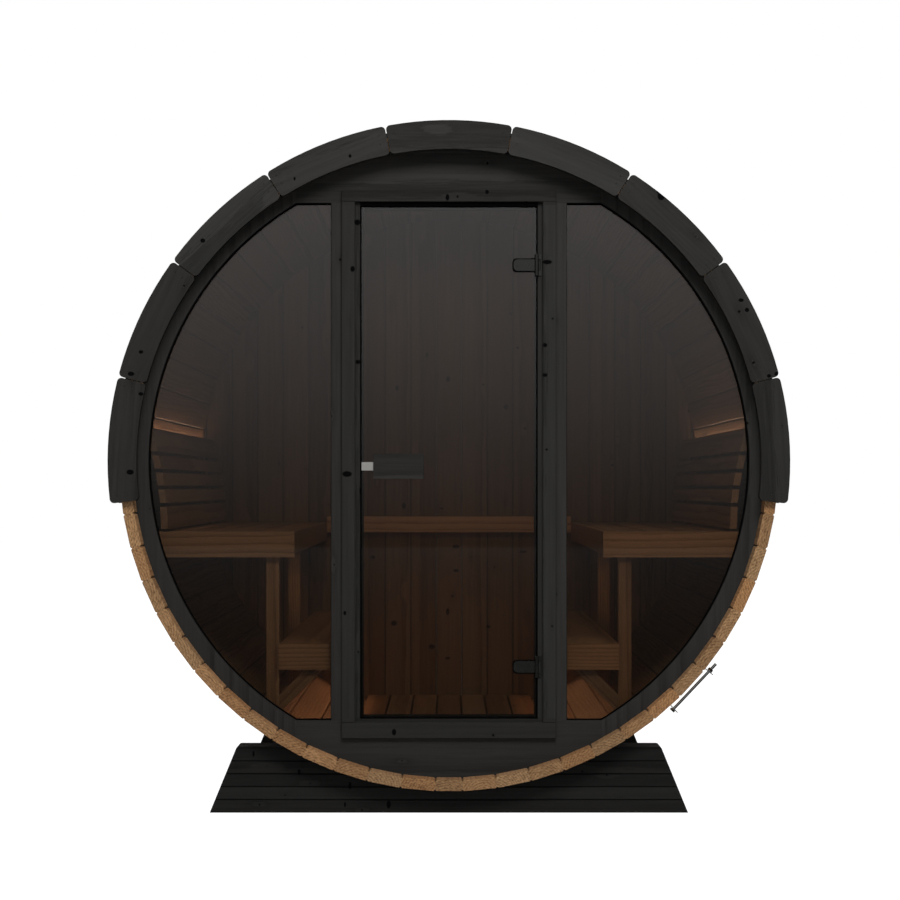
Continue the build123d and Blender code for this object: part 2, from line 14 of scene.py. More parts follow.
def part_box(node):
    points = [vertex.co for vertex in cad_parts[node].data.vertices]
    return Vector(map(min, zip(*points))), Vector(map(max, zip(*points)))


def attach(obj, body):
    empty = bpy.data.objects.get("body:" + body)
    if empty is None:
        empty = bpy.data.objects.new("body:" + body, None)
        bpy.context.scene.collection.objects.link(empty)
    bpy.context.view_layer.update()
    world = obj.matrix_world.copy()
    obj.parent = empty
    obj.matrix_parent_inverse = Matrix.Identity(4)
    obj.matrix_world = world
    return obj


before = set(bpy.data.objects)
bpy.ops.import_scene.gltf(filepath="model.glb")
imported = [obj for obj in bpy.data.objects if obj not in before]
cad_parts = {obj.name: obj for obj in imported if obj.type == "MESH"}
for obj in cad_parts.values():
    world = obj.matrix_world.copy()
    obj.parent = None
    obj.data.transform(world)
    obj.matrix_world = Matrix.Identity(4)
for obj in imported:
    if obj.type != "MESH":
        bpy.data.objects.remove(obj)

bl_info = {
    "name": "Barrel Sauna",
    "version": (1, 0, 0),
    "blender": (4, 5, 0),
    "location": "View3D > Sidebar > Sauna",
    "description": "Finishes, small parts and stage of a barrel sauna",
    "category": "Object",
}


def side(node, axis, far=False):
    """One side of a CAD node's box along an axis, in metres."""
    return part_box(node)[1 if far else 0]["xyz".index(axis)]


FULL_TURN = 2 * math.pi
HANDS = (("left", -1), ("right", 1))

# Places taken from the frame
BARREL_FRONT = side("staves_bottom", "y")
BARREL_REAR = side("staves_bottom", "y", far=True)
STAVE_OUTER = (side("staves_top", "z", far=True) - side("staves_bottom", "z")) / 2
AXIS_HEIGHT = side("staves_bottom", "z") + STAVE_OUTER
PANE_FACE = side("left_window", "y")
ROOF_OUTER = side("roof_covering", "z", far=True) - AXIS_HEIGHT
BENCH_START = side("left_upper_bench", "y")
STOPS_TOP = side("door_stops", "z", far=True)

# Sizes shared with the solids
STAVE_ANGLE = math.radians(6.02)
CLOSING_ANGLE = math.radians(4.82)
STAVE_MIDDLE = 1.116
STAVES = 60
TRIM_ANGLE = math.radians(21.6)
TRIM_BOARDS = 9
TRIM_MIDDLE = 1.121
WINDOW_RADIUS = 1.045
WINDOW_HALF_HEIGHT = 0.9
WINDOW_INNER = 0.409
FRAME_MIDDLE = 0.335
FRAME_MIDDLE_HEIGHT = 0.92
BACK_BOARD = 0.1135
FLOOR_PITCH = 0.1032
FLOOR_SLAT = 0.098
SEAT_START = 0.5623
SEAT_SLAT = 0.1218
STEP_SIDE = 0.4112
BACKREST_LEAN = math.radians(13.0)
BACKREST_GAPS = (-0.1505, -0.0895, -0.0305, 0.03)
BACKREST_SLAT = 0.06
CRADLE_PLANK = 0.045
CLAMP_HEIGHT = 0.04
HEAD_REVEAL = 0.012
POST_WIDTH = 0.045
SEAT_GAP = 0.01
SEAT_SLATS = 4
FASCIA = 0.0262

# Sizes of the small parts that only this script makes
AIR = 0.0002
SOFT_EDGE = 0.0004
SEAL_EDGE = 0.0008
SEAL_DEPTH = 0.004
SEAL_FACE = 0.008
STOP_INSET = 0.0006
# Rim of the hinge pads round the clamps: a rubber gasket and partly painted shadow
PAD_RIM_AND_SHADE = 0.0042
PAD_CORNER = 0.014
SHINGLE_FOOT = 0.0006
SHINGLE_THICKNESS = 0.003
SHINGLE_GAP = 0.0025
ROOF_INSET = 0.002
CAP_REACH = 0.075
TRIM_SCREW_TURN = 0.165
TRIM_SCREW_REACHES = (1.112, 1.143)

# Width of the blurred edge of a knot
KNOT_EDGE = 0.0014

# Knots with places of their own: x, z from the barrel's middle line, half width and half height
TRIM_KNOTS = (
    (-1.090, 0.300, 0.009, 0.006), (-1.056, 0.375, 0.006, 0.005), (-1.056, 0.231, 0.007, 0.005),
    (-1.093, -0.037, 0.010, 0.007), (0.728, 0.910, 0.010, 0.012), (1.002, 0.553, 0.007, 0.005),
    (1.022, 0.519, 0.006, 0.006), (1.098, 0.293, 0.006, 0.005), (1.125, 0.300, 0.007, 0.006),
    (-0.844, 0.757, 0.007, 0.006), (-0.529, 0.969, 0.003, 0.005), (-0.339, 1.047, 0.004, 0.005),
)
FRAME_KNOTS = (
    (-0.005, 0.916, 0.005, 0.009), (0.132, 0.935, 0.005, 0.006), (-0.334, 0.668, 0.006, 0.008),
    (-0.353, -0.043, 0.013, 0.008), (-0.361, -0.525, 0.004, 0.006), (-0.190, -0.938, 0.006, 0.009),
    (-0.318, 0.832, 0.008, 0.008), (-0.316, 0.347, 0.007, 0.006), (-0.306, -0.102, 0.004, 0.011),
    (0.341, 0.692, 0.013, 0.006), (0.333, 0.404, 0.006, 0.006), (0.333, 0.300, 0.007, 0.005),
)
BACK_KNOTS = (
    (-0.231, 0.352, 0.007, 0.009), (-0.004, 0.392, 0.008, 0.010), (-0.098, 0.499, 0.006, 0.008),
    (0.253, 0.268, 0.008, 0.009), (-0.201, -0.172, 0.007, 0.010), (0.031, -0.353, 0.012, 0.007),
    (0.031, -0.460, 0.010, 0.005), (-0.006, -0.642, 0.006, 0.012), (-0.245, -0.694, 0.011, 0.009),
    (0.175, -0.709, 0.008, 0.005), (-0.077, -0.798, 0.011, 0.008), (-0.339, -0.400, 0.009, 0.006),
    (0.330, -0.376, 0.013, 0.004), (-0.006, -0.849, 0.009, 0.004),
)
CRADLE_KNOTS = (
    (-0.681, -1.018, 0.003, 0.008), (-0.522, -1.082, 0.004, 0.008), (-0.345, -1.129, 0.004, 0.010),
    (-0.210, -1.195, 0.006, 0.011), (-0.362, -1.195, 0.003, 0.007),
)


# Shader trees
class Value:
    """A socket of a shader tree, on which Python's own signs add Math nodes."""

    def __init__(self, tree, socket):
        self.tree = tree
        self.socket = socket

    def other(self, name):
        """Another output of the same node."""
        return Value(self.tree, self.socket.node.outputs[name])

    def maths(self, operation, *terms):
        return self.tree.add("ShaderNodeMath", {"operation": operation}, dict(enumerate(terms)))

    def __add__(self, other):
        return self.maths("ADD", self, other)

    def __radd__(self, other):
        return self.maths("ADD", other, self)

    def __sub__(self, other):
        return self.maths("SUBTRACT", self, other)

    def __rsub__(self, other):
        return self.maths("SUBTRACT", other, self)

    def __mul__(self, other):
        return self.maths("MULTIPLY", self, other)

    def __rmul__(self, other):
        return self.maths("MULTIPLY", other, self)

    def __truediv__(self, other):
        return self.maths("DIVIDE", self, other)

    def __pow__(self, other):
        return self.maths("POWER", self, other)

    def __mod__(self, other):
        return self.maths("FLOORED_MODULO", self, other)

    def __gt__(self, other):
        return self.maths("GREATER_THAN", self, other)

    def __lt__(self, other):
        return self.maths("LESS_THAN", self, other)

    def __abs__(self):
        return self.maths("ABSOLUTE", self)

    def floor(self):
        return self.maths("FLOOR", self)

    def within(self, low, high):
        """0 at low, 1 at high, and straight between them."""
        return self.tree.add(
            "ShaderNodeMapRange", {"clamp": True}, {"Value": self, "From Min": low, "From Max": high}
        )


class Finish:
    """The shader tree of a material or world while it is written."""

    def __init__(self, owner):
        self.owner = bpy.data.materials.new(owner) if isinstance(owner, str) else owner
        self.owner.use_nodes = True
        self.nodes = self.owner.node_tree.nodes
        self.links = self.owner.node_tree.links
        self.nodes.clear()

    def add(self, kind, settings=None, inputs=None, output=0):
        """Add a node, with its settings first and then the values or links of its sockets."""
        node = self.nodes.new(kind)
        for name, value in (settings or {}).items():
            setattr(node, name, value)
        for name, value in (inputs or {}).items():
            if isinstance(value, Value):
                self.links.new(value.socket, node.inputs[name])
            else:
                node.inputs[name].default_value = value
        return Value(self, node.outputs[output]) if node.outputs else None

    def place(self):
        """The three Object coordinates, with z from the barrel's middle line."""
        coords = self.add("ShaderNodeTexCoord", output="Object")
        x = self.add("ShaderNodeSeparateXYZ", inputs={"Vector": coords})
        return x, x.other("Y"), x.other("Z") - AXIS_HEIGHT

    def facing(self):
        """The three parts of the surface's own normal."""
        normal = self.add("ShaderNodeTexCoord", output="Normal")
        x = self.add("ShaderNodeSeparateXYZ", inputs={"Vector": normal})
        return x, x.other("Y"), x.other("Z")

    def point(self, x, y, z):
        return self.add("ShaderNodeCombineXYZ", inputs={"X": x, "Y": y, "Z": z})

    def noise(self, point, scale, detail=2.0, roughness=0.5):
        return self.add(
            "ShaderNodeTexNoise",
            {"noise_dimensions": "3D"},
            {"Vector": point, "Scale": scale, "Detail": detail, "Roughness": roughness},
        )

    def chance(self, first, second):
        """Three numbers from 0 to 1 that differ from board to board."""
        dice = self.add(
            "ShaderNodeTexWhiteNoise",
            {"noise_dimensions": "3D"},
            {"Vector": self.point(first, second, 0.0)},
            output="Color",
        )
        x = self.add("ShaderNodeSeparateXYZ", inputs={"Vector": dice})
        return x, x.other("Y"), x.other("Z")

    def mix(self, share, first, second, way="MIX"):
        """A colour between two others."""
        return self.add(
            "ShaderNodeMix",
            {"data_type": "RGBA", "blend_type": way},
            {0: share, 6: opaque(first), 7: opaque(second)},
            output=2,
        )

    def finish(self, shader, kind="Material"):
        self.add("ShaderNodeOutput" + kind, inputs={"Surface": shader})
        return self.owner


def opaque(colour):
    """A colour with the fourth number that sockets want, or a link as it is."""
    return colour if isinstance(colour, Value) else (*colour[:3], 1.0)


def put_on(material, *names):
    """Give CAD nodes a material."""
    for name in names:
        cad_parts[name].data.materials.clear()
        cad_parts[name].data.materials.append(material)


# How boards lie: metres along, across and through a board, and the board's number
def rows(place, pitch, start=0.0):
    """Number of the row that a place falls in, and the place from the row's middle."""
    count = ((place - start) / pitch).floor()
    return count, place - start - (count + 0.5) * pitch


def stave_grain(tree):
    """Staves run along the barrel and are numbered round it."""
    x, y, z = tree.place()
    turn = x.maths("ARCTAN2", x, -1.0 * z) % FULL_TURN
    number, across = rows(turn, STAVE_ANGLE, CLOSING_ANGLE / 2)
    radius = (x * x + z * z) ** 0.5
    return y, across * STAVE_MIDDLE, radius - STAVE_MIDDLE, number % STAVES


def trim_grain(tree):
    """Trim boards are cut from straight planks, so their grain is straight too."""
    x, y, z = tree.place()
    turn = x.maths("ARCTAN2", x, z)
    number = (turn / TRIM_ANGLE + 0.5).floor()
    middle = number * TRIM_ANGLE
    sine = middle.maths("SINE", middle)
    cosine = middle.maths("COSINE", middle)
    along = x * cosine - z * sine
    across = x * sine + z * cosine - TRIM_MIDDLE
    return along, across, y, number + (y > 0.0) * 20.0


def level_grain(tree, pitch=1.0, start=-0.5):
    """Boards that lie level from left to right, in rows one over the other."""
    x, y, z = tree.place()
    number, across = rows(z, pitch, start)
    return x, across, y, number + (y > 0.0) * 20.0


def upright_grain(tree, pitch=1.0, start=-0.5):
    """Boards that stand upright, in rows from left to right."""
    x, y, z = tree.place()
    number, across = rows(x, pitch, start)
    return z, across, y, number


def deep_grain(tree, pitch=1.0, start=-0.5):
    """Boards that run from front to back, in rows from left to right."""
    x, y, z = tree.place()
    number, across = rows(x, pitch, start)
    return y, across, z, number


def frame_grain(tree, half_height):
    """Two upright boards between two level ones."""
    x, y, z = tree.place()
    level = abs(z) > half_height
    upright = 1.0 - level
    along = x * level + z * upright
    across = (abs(z) - FRAME_MIDDLE_HEIGHT) * level + (abs(x) - FRAME_MIDDLE) * upright
    return along, across, y, (x > 0.0) * upright + level * (2.0 + (z > 0.0))


def bench_grain(tree):
    """Seat boards run from front to back, and the front board from left to right."""
    x, y, z = tree.place()
    step = z < -0.4
    seat = 1.0 - step
    slat, over = rows(abs(x), SEAT_SLAT, SEAT_START)
    number = slat * seat + (abs(x) > STEP_SIDE) * step + step * 9.0
    across = over * seat + (abs(x) - 0.5) * step
    front = y < BENCH_START + FASCIA
    deep = 1.0 - front
    hand = (x > 0.0) * 31.0
    return x * front + y * deep, z * front + across * deep, y * front + z * deep, (number + 3.0) * deep + hand


def brace_grain(tree):
    """Braces rise at 45 degrees towards the middle of the room."""
    x, y, z = tree.place()
    reach = abs(x)
    half = math.sqrt(0.5)
    return (z - reach) * half, (z + reach) * half, y, (x > 0.0) + (y > 0.0) * 2.0


def backrest_grain(tree):
    """Backrest slats run from front to back and are numbered upwards."""
    x, y, z = tree.place()
    number = 0.0
    for gap in BACKREST_GAPS:
        number = (z > gap) + number
    return y, z - number * BACKREST_SLAT, x, number + (x > 0.0) * 31.0


def wood(
    name, grain_of, paint, knot_pitch=0.55, knot_size=0.011, ring=0.009, width=0.1, end_axis="y",
    knots=(), seam_dirt_and_shade=None,
):
    """Boards with growth rings, fibres, knots and end grain. paint holds the colours and the gloss.

    knots are ones with a place of their own: x, z, half width and half height. The last argument is the half
    width of a board whose edges are darker than its face: dirt and painted shade in the grooves between
    boards.
    """
    tree = Finish(name)
    along, across, through, number = grain_of(tree)
    tone, pith, depth = tree.chance(number, 3.7)

    # One knot or none in each stretch of a board
    stretch = (along + tone * 3.0) / knot_pitch
    cell = stretch.floor()
    knot_along, knot_across, knot_big = tree.chance(number * 1.7 + 0.3, cell * 1.3)
    down = (stretch - cell - 0.2 - knot_along * 0.6) * knot_pitch
    over = across - (knot_across - 0.5) * width
    away = (down * down * 1.6 + over * over) ** 0.5
    size = (knot_big - paint["knotless"]) * knot_size
    knot = ((size - away) / KNOT_EDGE + 0.5).within(0.0, 1.0)
    eye = (down * down * 0.12 + over * over) ** 0.5
    near = (1.0 - eye / 0.04).within(0.0, 1.0) * (size > 0.0)
    swirl = near * near * near * 0.006
    if knots:
        x, _, z = tree.place()
        for knot_x, knot_z, half_width, half_height in knots:
            aside = (x - knot_x) / half_width
            above = (z - knot_z) / half_height
            spot = (1.8 - aside * aside - above * above).within(0.0, 0.5)
            knot = knot.maths("MAXIMUM", knot, spot)

    # Rings round the pith, which lies beside the board
    sway = tree.noise(tree.point(across * 5.0, along * 1.3, number * 5.1), 1.0, 2.0)
    fibre = tree.noise(tree.point(across * 300.0, along * 9.0, through * 300.0), 1.0, 2.0, 0.6)
    streak = tree.noise(tree.point(across * 95.0, along * 2.2, through * 95.0 + number * 7.7), 1.0, 3.0, 0.7)
    out = across - (pith - 0.5) * 0.16 + (sway - 0.5) * 0.05
    back = through - 0.03 - depth * 0.05
    radius = (out * out + back * back) ** 0.5 + swirl
    rings = (radius / ring + fibre * 0.35) % 1.0
    late = rings ** 3.0

    grain = late * 0.55 + fibre * 0.3 + sway * 0.3 + (streak - 0.5) * paint["figure"]
    colour = tree.mix(grain.within(0.15, 0.85), paint["pale"], paint["dark"])
    level = (tone - 0.5) * paint["spread"] + 1.0
    tone_dirt_and_shade = (sway - 0.5) * paint["spread"] + level
    warmth = (pith - 0.5) * paint["hue"]
    # Dirt and painted shade: the board is darker towards its edges, in the grooves between boards
    if seam_dirt_and_shade:
        tone_dirt_and_shade = tone_dirt_and_shade * ((seam_dirt_and_shade - abs(across)).within(0.0, 0.004) * 0.6 + 0.4)
    tint = tree.point(tone_dirt_and_shade * (warmth + 1.0), tone_dirt_and_shade, tone_dirt_and_shade * (1.0 - warmth))
    colour = tree.mix(1.0, colour, tint, "MULTIPLY")
    if end_axis:
        facing = dict(zip("xyz", tree.facing()))
        end = (abs(facing[end_axis]) - 0.75).within(0.0, 0.2)
        pores = tree.noise(tree.point(across * 95.0, through * 240.0, number * 3.3), 1.0, 4.0, 0.75)
        cut = (pores - 0.5) * 3.2 + (late - 0.25) * 0.5 + 0.45
        rough_end = tree.mix(cut.within(0.0, 1.0), paint["end"], paint["end_dark"])
        tint = tree.point(level * (warmth + 1.0), level, level * (1.0 - warmth))
        rough_end = tree.mix(1.0, rough_end, tint, "MULTIPLY")
        colour = tree.mix(end, colour, rough_end)
        knot = knot * (1.0 - end)
    colour = tree.mix(knot * paint["knot_share"], colour, paint["knot"])

    height = fibre * 0.35 - late * 0.5 - knot * 0.6
    bump = tree.add(
        "ShaderNodeBump", inputs={"Strength": paint["relief"], "Distance": 0.0006, "Height": height}
    )
    gloss = (paint["roughness"] + fibre * 0.12 + knot * 0.4).within(0.0, 1.0)
    board = tree.add(
        "ShaderNodeBsdfPrincipled",
        inputs={
            "Base Color": colour, "Roughness": gloss, "Normal": bump, "Specular IOR Level": paint["sheen"],
        },
    )
    return tree.finish(board)


# Colours and sizes that a user would change
def shade(name, description, value):
    """A colour that a user can change."""
    return bpy.props.FloatVectorProperty(
        name=name, description=description, subtype="COLOR", size=3, min=0.0, max=1.0, default=value
    )


class SaunaWoods(bpy.types.PropertyGroup):
    """Colours of the boards."""

    stave_pale: shade("Stave, pale grain", "Early wood on the faces of the staves", (0.27, 0.15, 0.072))
    stave_dark: shade("Stave, dark grain", "Late wood on the faces of the staves", (0.155, 0.078, 0.035))
    stave_end: shade("Stave, end grain", "Sawn ends of the staves", (0.32, 0.184, 0.086))
    stave_end_dark: shade("Stave, dark end grain", "Pores in the sawn ends", (0.085, 0.038, 0.014))
    stain_pale: shade("Dark stain, pale grain", "Early wood of trim, wall and door", (0.0230, 0.0222, 0.0207))
    stain_dark: shade("Dark stain, dark grain", "Late wood of trim, wall and door", (0.0130, 0.0125, 0.0117))
    # The cradles' colours are darker than the other stained boards, partly as painted shade under the barrel
    cradle_shadowed_pale: shade("Cradle, pale grain", "Early wood of the cradles", (0.0145, 0.014, 0.0132))
    cradle_shadowed_dark: shade("Cradle, dark grain", "Late wood of the cradles", (0.0085, 0.0082, 0.0078))
    room_pale: shade("Room, pale grain", "Early wood of benches, floor and back wall", (0.33, 0.162, 0.068))
    room_dark: shade("Room, dark grain", "Late wood of benches, floor and back wall", (0.175, 0.076, 0.029))
    knot: shade("Knot in plain wood", "Knots of staves and room", (0.026, 0.011, 0.006))
    stain_knot: shade("Knot in stained wood", "Knots of all stained boards", (0.0015, 0.0015, 0.0015))


class SaunaHardware(bpy.types.PropertyGroup):
    """Colours of glass, metal, seals and roof, and the sizes of small parts."""

    glass: shade("Glass tint", "Colour of the tinted panes", (0.004, 0.003, 0.002))
    glass_cover: bpy.props.FloatProperty(
        name="Glass darkness", description="Share of light the glass holds back", subtype="FACTOR",
        min=0.0, max=1.0, default=0.42,
    )
    # The seal colour also paints the black strip of painted shadow on the door frame's head and the hinge
    # pads' rims
    seal: shade("Seal", "Rubber of seals and hinge pads", (0.0012, 0.0012, 0.0012))
    strap: shade("Strap steel", "Bands round the barrel", (0.36, 0.36, 0.35))
    bolt: shade("Bolt steel", "Bolts that tighten the bands", (0.46, 0.46, 0.45))
    hinge: shade("Hinge metal", "Painted hinges and clamps", (0.030, 0.030, 0.028))
    latch: shade("Latch plate", "Steel plate at the edge of the door", (0.60, 0.59, 0.56))
    felt: shade("Roof felt", "Bitumen under the granules", (0.030, 0.030, 0.031))
    felt_pale: shade("Roof felt, pale granules", "Palest granules of the shingles", (0.085, 0.085, 0.085))
    strip: shade("Light strip", "Light behind the backrests", (1.0, 0.72, 0.50))
    strip_power: bpy.props.FloatProperty(
        name="Light strip strength", description="Brightness of the light strips",
        min=0.0, max=50.0, default=14.0,
    )
    seal_width: bpy.props.FloatProperty(
        name="Seal width", description="Width of the seals round the windows", unit="LENGTH",
        min=0.001, max=0.01, default=0.0055,
    )
    shingle_course: bpy.props.FloatProperty(
        name="Shingle course", description="Height of one course of shingles that shows", unit="LENGTH",
        min=0.05, max=0.4, default=0.143,
    )
    shingle_width: bpy.props.FloatProperty(
        name="Shingle width", description="Width of one shingle tab", unit="LENGTH",
        min=0.1, max=0.6, default=0.333,
    )
    screw_radius: bpy.props.FloatProperty(
        name="Screw radius", description="Radius of a screw head", unit="LENGTH",
        min=0.001, max=0.01, default=0.003,
    )


class SaunaStage(bpy.types.PropertyGroup):
    """Floor, lamps and camera."""

    floor: shade("Floor", "Plain floor under the sauna", (0.5, 0.5, 0.5))
    sky_light: bpy.props.FloatProperty(
        name="Sky light", description="Strength of the soft light from all round",
        min=0.0, max=5.0, default=0.25,
    )
    key_light: bpy.props.FloatProperty(
        name="Key light", description="Power of the large lamp above the front", unit="POWER",
        min=0.0, max=5000.0, default=315.0,
    )
    low_light: bpy.props.FloatProperty(
        name="Low light", description="Power of the lamp in front of the door", unit="POWER",
        min=0.0, max=5000.0, default=27.0,
    )
    room_light: bpy.props.FloatProperty(
        name="Room light", description="Power of the lamp under the ceiling", unit="POWER",
        min=0.0, max=500.0, default=1.6,
    )


def woods():
    """Colours of the boards."""
    return bpy.context.scene.sauna_woods


def hardware():
    """Colours and sizes of everything that isn't wood."""
    return bpy.context.scene.sauna_hardware


def stage_settings():
    """Floor, lamps and camera."""
    return bpy.context.scene.sauna_stage


def plain_paint(pale, dark, end, end_dark, **changes):
    """Gloss and colours of bare wood."""
    paint = {
        "pale": pale, "dark": dark, "end": end, "end_dark": end_dark, "knot": woods().knot,
        "knot_share": 0.9, "knotless": 0.35, "spread": 0.35, "relief": 0.35, "roughness": 0.5, "sheen": 0.3,
        "hue": 0.14, "figure": 0.9,
    }
    return {**paint, **changes}


def stained_paint(pale, dark, **changes):
    """Gloss and colours of dark stained wood."""
    paint = {
        "pale": pale, "dark": dark, "end": dark, "end_dark": dark, "knot": woods().stain_knot,
        "knot_share": 1.0, "knotless": 0.45, "spread": 0.3, "relief": 0.5, "roughness": 0.62, "sheen": 0.11,
        "hue": 0.02, "figure": 1.1,
    }
    return {**paint, **changes}


def lit_or_shaded(paint, share):
    """The same paint with its two grain colours lighter or darker: painted light or painted shade on a copy
    of one wood.
    """
    both = {key: [part * share for part in paint[key]] for key in ("pale", "dark")}
    return {**paint, **both}


# Shapes
def block(shape, low, high, bevel=0.0):
    """A board between two corners, with its edges taken off."""
    low, high = Vector(low), Vector(high)
    place = Matrix.Translation((low + high) / 2) @ Matrix.Diagonal((*(high - low), 1.0))
    made = bmesh.ops.create_cube(shape, size=1.0, matrix=place)
    if bevel:
        edges = list({edge for corner in made["verts"] for edge in corner.link_edges})
        bmesh.ops.bevel(
            shape, geom=edges, offset=bevel, affect="EDGES", segments=1, profile=0.5, material=-1
        )


def screw(shape, place, outwards, radius):
    """A round screw head with a hollow for the driver, just proud of the wood."""
    turn = Vector((0, 0, 1)).rotation_difference(Vector(outwards)).to_matrix().to_4x4()
    matrix = Matrix.Translation(Vector(place) + Vector(outwards) * 0.0003) @ turn
    made = bmesh.ops.create_cone(
        shape, cap_ends=True, segments=12, radius1=radius, radius2=radius * 0.8, depth=0.0012, matrix=matrix
    )
    faces = {face for corner in made["verts"] for face in corner.link_faces}
    front = max(faces, key=lambda face: face.calc_center_median().dot(Vector(outwards)))
    bmesh.ops.inset_individual(shape, faces=[front], thickness=radius * 0.35)
    bmesh.ops.translate(shape, verts=front.verts, vec=Vector(outwards) * -0.0008)


def piece(name, shape, material, body="sauna"):
    """Turn a finished shape into an object that rides on a body."""
    bmesh.ops.recalc_face_normals(shape, faces=shape.faces)
    mesh = bpy.data.meshes.new(name)
    shape.to_mesh(mesh)
    shape.free()
    mesh.materials.append(material)
    thing = bpy.data.objects.new(name, mesh)
    bpy.context.scene.collection.objects.link(thing)
    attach(thing, body)


def plain(name, colour, roughness, metallic=0.0, scale=60.0, sheen=0.5):
    """Metal or rubber with slight changes of colour and gloss."""
    tree = Finish(name)
    coords = tree.add("ShaderNodeTexCoord", output="Object")
    cloud = tree.noise(coords, scale, 3.0, 0.6)
    speck = tree.noise(coords, scale * 12.0, 1.0, 0.5)
    level = (cloud - 0.5) * 0.25 + (speck - 0.5) * 0.25 * 0.5 + 1.0
    tint = tree.mix(1.0, colour, tree.point(level, level, level), "MULTIPLY")
    bump = tree.add(
        "ShaderNodeBump", inputs={"Strength": 0.1, "Distance": 0.0004, "Height": cloud + speck * 0.3}
    )
    surface = tree.add(
        "ShaderNodeBsdfPrincipled",
        inputs={
            "Base Color": tint,
            "Roughness": (cloud - 0.5) * 0.2 + roughness,
            "Metallic": metallic,
            "Specular IOR Level": sheen,
            "Normal": bump,
        },
    )
    return tree.finish(surface)


# One operator for each group of pieces
class SAUNA_OT_staves(bpy.types.Operator):
    """Finish the staves of the barrel"""

    bl_idname = "sauna.staves"
    bl_label = "Staves"

    def execute(self, context):
        paint = plain_paint(
            woods().stave_pale, woods().stave_dark, woods().stave_end, woods().stave_end_dark
        )
        material = wood("stave_boards", stave_grain, paint, seam_dirt_and_shade=STAVE_ANGLE * STAVE_MIDDLE / 2)
        put_on(material, *(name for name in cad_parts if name.startswith("staves_")))
        return {"FINISHED"}


class SAUNA_OT_trims(bpy.types.Operator):
    """Finish the curved trim boards"""

    bl_idname = "sauna.trims"
    bl_label = "Trim boards"

    def execute(self, context):
        paint = stained_paint(woods().stain_pale, woods().stain_dark)
        # The trim boards are painted a little lighter than the wall's stain: painted light
        boards = wood(
            "trim_boards", trim_grain, lit_or_shaded(paint, 1.06), 0.3, 0.010, ring=0.013, width=0.09, end_axis=None,
            knots=TRIM_KNOTS,
        )
        put_on(boards, "front_trim", "rear_trim")
        return {"FINISHED"}


class SAUNA_OT_walls(bpy.types.Operator):
    """Finish the front wall, the door frame, its stops and its casing"""

    bl_idname = "sauna.walls"
    bl_label = "Front wall"

    def execute(self, context):
        paint = stained_paint(woods().stain_pale, woods().stain_dark)
        level = wood("wall_level_boards", level_grain, paint, end_axis=None)
        upright = wood("wall_upright_boards", upright_grain, paint, ring=0.013, end_axis=None)
        put_on(level, "front_wall_top", "front_wall_bottom")
        put_on(upright, "front_wall_left_rim", "front_wall_right_rim")
        # The posts are painted lighter than the wall: painted light
        post = wood(
            "wall_post_boards", lambda tree: upright_grain(tree, 0.12, -0.06), lit_or_shaded(paint, 1.22),
            0.3, 0.010, ring=0.013, end_axis=None,
        )
        put_on(post, "front_wall_posts")
        half = STOPS_TOP - AXIS_HEIGHT
        # The door frame, stops and casing are painted darker than the wall: painted shade
        framed = wood(
            "door_frame_boards", lambda tree: frame_grain(tree, half), lit_or_shaded(paint, 0.86),
            0.4, 0.009, ring=0.013, width=0.06,
            end_axis=None, knots=FRAME_KNOTS,
        )
        put_on(framed, "door_frame", "door_stops", "door_casing")
        return {"FINISHED"}


class SAUNA_OT_cradles(bpy.types.Operator):
    """Finish the two cradles"""

    bl_idname = "sauna.cradles"
    bl_label = "Cradles"

    def execute(self, context):
        # The cradle colours are darker than the other stained boards, partly as painted shade under the
        # barrel
        paint = stained_paint(woods().cradle_shadowed_pale, woods().cradle_shadowed_dark)
        material = wood(
            "cradle_planks", lambda tree: level_grain(tree, CRADLE_PLANK, -AXIS_HEIGHT), paint,
            width=0.04, knot_size=0.008, end_axis="x", knots=CRADLE_KNOTS, seam_dirt_and_shade=CRADLE_PLANK / 2,
        )
        put_on(material, "front_cradle", "rear_cradle")
        return {"FINISHED"}


